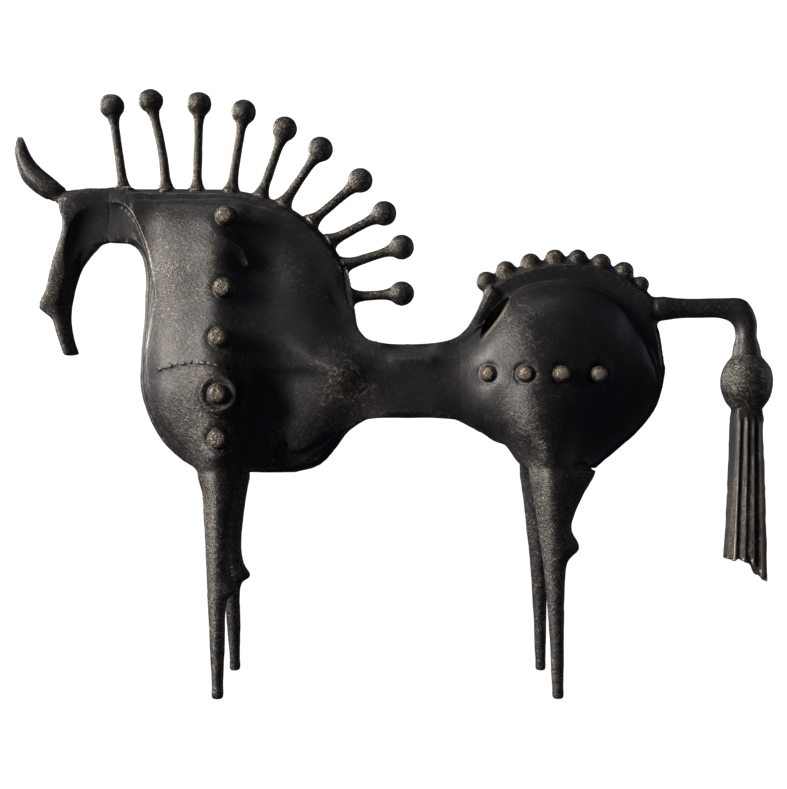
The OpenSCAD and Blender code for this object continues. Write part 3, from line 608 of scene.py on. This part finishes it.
def trunk_sides():
    """Side view of the trunk: distance from its outline, its smoothed half width and where that holds."""
    first, shape = trunk_side_block()
    outline = np.full(shape, BAND, dtype=np.float32)
    reach = np.zeros(shape, dtype=np.float32)
    for name in TRUNK:
        field = fields[name]
        corner = np.array([field.first[0], 0, field.first[2]])
        width, there = outermost(field)
        shadow = Field(corner, field.values.min(axis=1, keepdims=True))
        outline = np.minimum(outline, shadow.window(first, shape))
        reach = np.maximum(reach, Field(corner, width * there).window(first, shape, 0))
    contact_closed = depth_inside(outline < 0.3 * MM, BAND)
    outline = np.where(contact_closed > 0, np.minimum(outline, 1 * MM - contact_closed), outline)
    known = (reach > 0).astype(np.float32)
    even = blurred(reach * known, TRUNK_BLUR) / np.maximum(blurred(known, TRUNK_BLUR), 0.001)
    x, _, z = Field(first, reach).axes()
    planes = (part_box("head")[1][0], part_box("waist_beam")[0][0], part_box("waist_beam")[1][0])
    beside = [1 - smooth(7 * MM, 22 * MM, np.abs(x - plane)) for plane in planes]
    share = np.maximum.reduce(beside)
    reach = np.where(known > 0, reach + share * (even - reach), even)
    slope = np.hypot(np.gradient(reach, VOXEL, axis=0), np.gradient(reach, VOXEL, axis=2))
    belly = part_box("haunch_shell_near")[0][2]
    holds = smooth(0, 0.7, share) * smooth(belly, belly + 11 * MM, z)
    return [Field(first, part.astype(np.float32)) for part in (outline, reach, np.hypot(1, slope), holds)]


def evened(own, trunk):
    """What to add to the distances of the trunk so that its sides run smoothly across the joints."""
    first = np.array([own.first[0], 0, own.first[2]])
    shape = (own.values.shape[0], 1, own.values.shape[2])
    outline, reach, slope, holds = (part.window(first, shape, 1) for part in trunk_side_view)
    y = own.axes()[1]
    side = np.maximum(outline, (np.abs(y) - reach) / slope)
    return (holds * (outline < BAND)) * (np.clip(side, -BAND, BAND) - trunk)


def union_over(own):
    """Distances of the casting and of its studs over the block of one part, before the relief."""
    shape = own.values.shape
    body = {}
    proud = np.full(shape, BAND, dtype=np.float32)
    studs = proud.copy()
    for name, field in fields.items():
        if not field.reaches(own.first, shape):
            continue
        distance = field.window(own.first, shape)
        if "rivet" in name:
            studs = np.minimum(studs, distance)
        elif any(kind in name for kind in PROUD):
            proud = np.minimum(proud, distance)
        else:
            group = "trunk" if name.replace("_far", "_near") in TRUNK else name
            body[group] = np.minimum(body[group], distance) if group in body else distance
    if "trunk" in body:
        body["trunk"] = body["trunk"] + evened(own, body["trunk"])
    nearest = np.full(shape, BAND, dtype=np.float32)
    second = nearest.copy()
    for distance in body.values():
        second = np.minimum(second, np.maximum(nearest, distance))
        nearest = np.minimum(nearest, distance)
    joint = 1 - smooth(1.5 * MM, 6.5 * MM, second)
    union = nearest + joint * np.minimum(blurred(nearest, JOINT_BLUR) - nearest, DEEPEST_SHAVE)
    union = np.minimum(union, proud)
    return np.minimum(union, blurred(union, WIDE_FILLET)), studs


def others_over(node):
    """Distance from the nearest other part over the block of one part."""
    own = fields[node]
    shape = own.values.shape
    others = np.full(shape, BAND, dtype=np.float32)
    for name, field in fields.items():
        if name != node and field.reaches(own.first, shape):
            others = np.minimum(others, field.window(own.first, shape))
    return others


def shell_seam(node, own):
    """Raised line where a shell meets its plate."""
    if node not in ("front_web", "rear_web") and node not in SHELLS:
        return 0
    shell, web = (SHELLS[0], "front_web") if node in (SHELLS[0], "front_web") else (SHELLS[1], "rear_web")
    shape = own.values.shape
    gap = fields[shell].window(own.first, shape) - fields[web].window(own.first, shape)
    return 0.55 * MM * bump(gap, 0.9 * MM) * smooth(3 * MM, 6 * MM, np.abs(own.axes()[1]))


def wear_layers(node, own, union, points):
    """Values at the vertices that steer the material: sharp edges, broad swellings and handling."""
    fine = sampled(own, blurred(union, 1.0 * MM) - union, points)
    broad = sampled(own, blurred(union, 3.2 * MM) - union, points)
    layers = {
        "edge": np.clip((fine - 0.2 * MM) / (0.25 * MM), -1, 1),
        "swell": np.clip(broad / (1.2 * MM), -1, 1),
        "worn": np.maximum(handled(points[:, 0], points[:, 2]), LEAST_WORN.get(slot_of[node], 0)),
    }
    if "rivet" in node:
        reach = float(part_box(node)[1][1])
        cap = smooth(reach - 1.5 * MM, reach - 0.5 * MM, np.abs(points[:, 1]))
        layers["edge"] = np.maximum(layers["edge"], (0.85 if "hip" in node else 0.5) * cap)
    return layers


def cast_piece(node):
    """One part of the casting, as points, faces and wear."""
    own = fields[node]
    x, y, z = own.axes()
    union, studs = union_over(own)
    union = np.maximum(union, np.abs(y) - throat_hollow(x, z))
    union = union - side_relief(x, y, z) - hand_made(x, np.abs(y), z)
    if "rivet" in node:
        studs = studs - stud_caps(node, x, y, z)
    union = np.minimum(union, studs)
    union = np.minimum(union, blurred(union, FILLET))
    union = (union - shell_seam(node, own)).astype(np.float32)
    margin = own.values - others_over(node)
    cut = np.maximum(union + SINK * smooth(0, SEAM, margin), margin - OVERLAP)
    cut = Field(own.first, np.clip(cut, -BAND, BAND).astype(np.float32))
    points, triangles, quads = polygons(cut, ADAPTIVITY)
    (triangles, quads), keep = islands_removed(points, [triangles, quads])
    renumber = np.cumsum(keep) - 1
    points = points[keep]
    layers = wear_layers(node, own, union, points)
    return bent(node, points), renumber[triangles], renumber[quads], layers


def build_pieces():
    for node in slot_of:
        if node in HIDDEN or node.endswith("_far"):
            continue
        points, triangles, quads, layers = cast_piece(node)
        finish_piece(make_object("cast_" + node, points, triangles, quads, layers), node)
        if node.endswith("_near"):
            far = node.replace("_near", "_far")
            mirrored = points * np.array([1, -1, 1])
            if far == "ear_far":
                mirrored = shortened(mirrored)
            piece = make_object("cast_" + far, mirrored, triangles[:, ::-1], quads[:, ::-1], layers)
            finish_piece(piece, far)


# ---- materials ----


class Nodes:
    """Short way to lay out shader nodes."""

    def __init__(self, name):
        self.material = bpy.data.materials.new(name)
        self.material.use_nodes = True
        self.tree = self.material.node_tree
        self.shader = self.tree.nodes["Principled BSDF"]
        self.place = self.add("ShaderNodeTexCoord").outputs["Object"]

    def add(self, kind, **settings):
        node = self.tree.nodes.new(kind)
        for key, value in settings.items():
            setattr(node, key, value)
        return node

    def feed(self, socket, value):
        if isinstance(value, bpy.types.NodeSocket):
            self.tree.links.new(value, socket)
        else:
            socket.default_value = value

    def math(self, operation, a, b=0.0, clamp=False):
        node = self.add("ShaderNodeMath", operation=operation, use_clamp=clamp)
        self.feed(node.inputs[0], a)
        self.feed(node.inputs[1], b)
        return node.outputs[0]

    def noise(self, size, detail=3.0, rough=0.55, turn=0.0, warp=0.0):
        """Noise with spots of one size, or of three sizes along axes turned about y."""
        mapping = self.add("ShaderNodeMapping", vector_type="TEXTURE")
        self.feed(mapping.inputs["Vector"], self.place)
        mapping.inputs["Rotation"].default_value = (0, math.radians(turn), 0)
        mapping.inputs["Scale"].default_value = size if isinstance(size, tuple) else (size, size, size)
        node = self.add("ShaderNodeTexNoise")
        self.feed(node.inputs["Vector"], mapping.outputs[0])
        node.inputs["Scale"].default_value = 1.0
        node.inputs["Detail"].default_value = detail
        node.inputs["Roughness"].default_value = rough
        node.inputs["Distortion"].default_value = warp
        return node.outputs[0]

    def between(self, value, low, high):
        node = self.add("ShaderNodeMapRange", interpolation_type="SMOOTHSTEP")
        self.feed(node.inputs["Value"], value)
        node.inputs["From Min"].default_value = low
        node.inputs["From Max"].default_value = high
        return node.outputs[0]

    def mix(self, factor, a, b, color=False):
        node = self.add("ShaderNodeMix", data_type="RGBA" if color else "FLOAT")
        self.feed(node.inputs[0], factor)
        self.feed(node.inputs[6 if color else 2], (*a, 1) if color and isinstance(a, tuple) else a)
        self.feed(node.inputs[7 if color else 3], (*b, 1) if color and isinstance(b, tuple) else b)
        return node.outputs[2 if color else 0]

    def layer(self, name):
        return self.add("ShaderNodeAttribute", attribute_name=name).outputs["Fac"]


def scratches(n, turn, amount):
    """Thin straight scratches in one direction, broken up into patches."""
    lines = n.noise((4.5 * MM, 3 * MM, 0.5 * MM), 1.5, 0.5, turn, 0.3)
    patches = n.noise(9 * MM, 3, 0.6, turn)
    lines = n.between(lines, 0.57, 0.69)
    return n.math("MULTIPLY", lines, n.math("MULTIPLY", n.between(patches, 0.46, 0.64), amount))


def hammered(n, worn, leather, wrinkles, fine, grain, lines):
    """Fine hand-worked surface, smoother where it is untouched, with the scratches cut into it."""
    height = n.math("ADD", n.math("MULTIPLY", leather, 0.9), n.math("MULTIPLY", wrinkles, 0.9))
    height = n.math("MULTIPLY", height, n.mix(worn, 0.16, 1.0))
    height = n.math("ADD", height, n.math("MULTIPLY", fine, n.mix(worn, 0.15, 0.5)))
    height = n.math("ADD", height, n.math("MULTIPLY", grain, 0.12))
    height = n.math("SUBTRACT", height, n.math("MULTIPLY", lines, 0.4))
    relief = n.add("ShaderNodeBump")
    relief.inputs["Strength"].default_value = 0.9
    relief.inputs["Distance"].default_value = 0.6 * MM
    n.feed(relief.inputs["Height"], height)
    n.feed(n.shader.inputs["Normal"], relief.outputs[0])


def bronze(name, patina, tint, metal, wear, scratch, rough):
    """Dark patina, rubbed to bare metal on edges, scratches and flecks."""
    n = Nodes(name)
    edge = n.layer("edge")
    swell = n.layer("swell")
    worn = n.layer("worn")
    broad = n.noise(30 * MM, 4, 0.6)
    leather = n.noise(2.2 * MM, 3, 0.6, 0, 0.5)
    wrinkles = n.noise((4 * MM, 3 * MM, 1.1 * MM), 3, 0.6, 35, 0.6)
    fine = n.noise(0.9 * MM, 4, 0.65)
    grain = n.noise(0.48 * MM, 2, 0.6)

    rubbed = n.math("ADD", edge, n.math("MULTIPLY", n.math("SUBTRACT", fine, 0.5), 1.2))
    rubbed = n.math("MULTIPLY", n.between(rubbed, 0.3, 0.9), n.mix(worn, 0.2 * wear, wear))
    lines = n.math("MAXIMUM", scratches(n, 52, 0.8), scratches(n, -42, 0.6))
    lines = n.math("MAXIMUM", lines, scratches(n, 8, 0.7))
    lines = n.math("MULTIPLY", lines, n.mix(worn, 0.1 * scratch, scratch))
    flecks = n.math("MULTIPLY", n.between(grain, 0.56, 0.68), n.between(leather, 0.44, 0.62))
    flecks = n.math("MULTIPLY", flecks, n.between(n.math("ADD", worn, swell), 0.05, 0.9))
    flecks = n.math("MULTIPLY", flecks, scratch)
    bare = n.math("ADD", n.math("MAXIMUM", lines, flecks), rubbed, clamp=True)

    skin = n.mix(n.between(broad, 0.35, 0.7), patina, tint, color=True)
    n.feed(n.shader.inputs["Base Color"], n.mix(bare, skin, metal, color=True))
    n.feed(n.shader.inputs["Metallic"], n.mix(bare, 0.2, 1.0))
    satin = n.math("ADD", rough, n.math("MULTIPLY", n.math("SUBTRACT", fine, 0.5), 0.2))
    n.feed(n.shader.inputs["Roughness"], n.mix(bare, satin, 0.38))
    n.shader.inputs["Specular IOR Level"].default_value = 0.6

    hammered(n, worn, leather, wrinkles, fine, grain, lines)
    return n.material


def turned_steel(name):
    n = Nodes(name)
    rings = n.noise((0.25 * MM, 16 * MM, 16 * MM), 2, 0.5)
    n.feed(n.shader.inputs["Base Color"], n.mix(rings, (0.42, 0.42, 0.44), (0.62, 0.62, 0.64), color=True))
    n.shader.inputs["Metallic"].default_value = 1.0
    n.feed(n.shader.inputs["Roughness"], n.mix(rings, 0.28, 0.42))
    return n.material


def pale_paper(name):
    """White paper of a photo studio, lit evenly all round."""
    n = Nodes(name)
    paper = n.noise(330 * MM, 2, 0.5)
    n.feed(n.shader.inputs["Base Color"], n.mix(paper, (0.9, 0.9, 0.9), (0.92, 0.92, 0.92), color=True))
    n.shader.inputs["Roughness"].default_value = 0.9
    n.shader.inputs["Specular IOR Level"].default_value = 0.0
    n.shader.inputs["Emission Color"].default_value = (1, 1, 1, 1)
    n.shader.inputs["Emission Strength"].default_value = 1.1
    return n.material


materials = {
    "dark_bronze": bronze(
        "dark_bronze", (0.010, 0.010, 0.013), (0.018, 0.016, 0.018), (0.6, 0.48, 0.34), 0.9, 0.72, 0.42
    ),
    "worn_bronze": bronze(
        "worn_bronze", (0.012, 0.011, 0.011), (0.024, 0.020, 0.017), (0.64, 0.52, 0.37), 0.9, 0.8, 0.38
    ),
    "rivet_bronze": bronze(
        "rivet_bronze", (0.012, 0.011, 0.011), (0.024, 0.020, 0.017), (0.68, 0.56, 0.4), 1.0, 0.9, 0.36
    ),
    "steel": turned_steel("steel"),
}


# ---- stage, lights, camera ----


def paper_floor():
    """Round pale floor that curves up into a wall."""
    bend_at = 3.2
    bend_radius = 1.2
    wall_top = 6
    sides = 48
    profile = [(bend_at, 0)]
    for k in range(1, 13):
        angle = math.radians(90 * k / 12)
        profile.append((bend_at + bend_radius * math.sin(angle), bend_radius * (1 - math.cos(angle))))
    profile.append((bend_at + bend_radius, wall_top))
    turns = [2 * math.pi * k / sides for k in range(sides)]
    around = [(math.cos(turn), math.sin(turn)) for turn in turns]
    points = [(radius * x, radius * y, z) for radius, z in profile for x, y in around]
    faces = [tuple(range(sides))]
    for ring in range(len(profile) - 1):
        for k in range(sides):
            a, b = ring * sides + k, ring * sides + (k + 1) % sides
            faces.append((a, b, b + sides, a + sides))
    mesh = bpy.data.meshes.new("floor")
    mesh.from_pydata(points, [], faces)
    mesh.shade_smooth()
    mesh.materials.append(pale_paper("floor"))
    floor = bpy.data.objects.new("floor", mesh)
    bpy.context.scene.collection.objects.link(floor)
    floor.visible_diffuse = False
    floor.visible_glossy = False


def area_light(name, place, target, width, height, power, color):
    light = bpy.data.lights.new(name, "AREA")
    light.shape = "RECTANGLE"
    light.size = width
    light.size_y = height
    light.energy = power
    light.color = color
    lamp = bpy.data.objects.new(name, light)
    lamp.location = place
    lamp.rotation_euler = (Vector(target) - Vector(place)).to_track_quat("-Z", "Y").to_euler()
    bpy.context.scene.collection.objects.link(lamp)


def lights():
    body = (-0.02, 0, 0.2)
    area_light("key", (-1.5, -0.75, 0.6), body, 0.5, 0.8, 46, (1.0, 0.95, 0.88))
    area_light("key_far_side", (-1.3, 1.0, 0.7), body, 0.6, 0.8, 26, (1.0, 0.96, 0.9))
    area_light("top", (-0.25, -0.25, 1.5), body, 0.8, 0.4, 3, (0.9, 0.94, 1.0))
    area_light("rim", (1.5, 0.35, 0.5), body, 0.3, 0.9, 2, (0.9, 0.93, 1.0))
    world = bpy.data.worlds.new("studio")
    world.use_nodes = True
    world.node_tree.nodes["Background"].inputs["Color"].default_value = (0.42, 0.45, 0.62, 1)
    world.node_tree.nodes["Background"].inputs["Strength"].default_value = 0.1
    bpy.context.scene.world = world
    bpy.context.scene.view_settings.view_transform = "Standard"


def side_camera():
    """Level side view from the horse's left, a little under two lengths away."""
    low, high = cad_bounds
    distance = 1.715 * (high[0] - low[0])
    camera = bpy.data.cameras.new("side")
    camera.sensor_width = 36
    camera.lens = 59.1
    camera.shift_x = 0.007
    camera.shift_y = 0.0324
    camera.clip_end = 20
    seat = bpy.data.objects.new("side", camera)
    seat.location = (-3.5 * MM, -distance, low[2] + 0.4434 * (high[2] - low[2]))
    seat.rotation_euler = (math.radians(90), 0, 0)
    bpy.context.scene.collection.objects.link(seat)
    bpy.context.scene.camera = seat


fields = {name: node_field(name) for name in slot_of if not name.endswith("_far") or name in HIDDEN}
for shell_name, leg_name in zip(SHELLS, LEGS):
    fields[shell_name] = filled_shell(fields[shell_name])
    leg_joined(fields[shell_name], fields[leg_name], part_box(shell_name)[0][2])
for name, field in fields.items():
    for kind, spread in FACET_BLUR.items():
        if kind in name and name not in SHELLS + LEGS:
            field.values = blurred(field.values, spread)
    field.values = swollen(name, field)
fields["tail_arm"].values = flared_arm(fields["tail_arm"])
fields["ear_near"].values = ear_leaf(fields["ear_near"])
for name in list(fields):
    if name.endswith("_near"):
        near = fields[name]
        mirror_first = near.first.copy()
        mirror_first[1] = -(near.first[1] + near.values.shape[1] - 1)
        fields[name.replace("_near", "_far")] = Field(mirror_first, near.values[:, ::-1, :])

trunk_side_view = trunk_sides()
build_pieces()
for hidden in HIDDEN:
    nodes[hidden].material_slots[0].material = materials["steel"]

paper_floor()
lights()
side_camera()
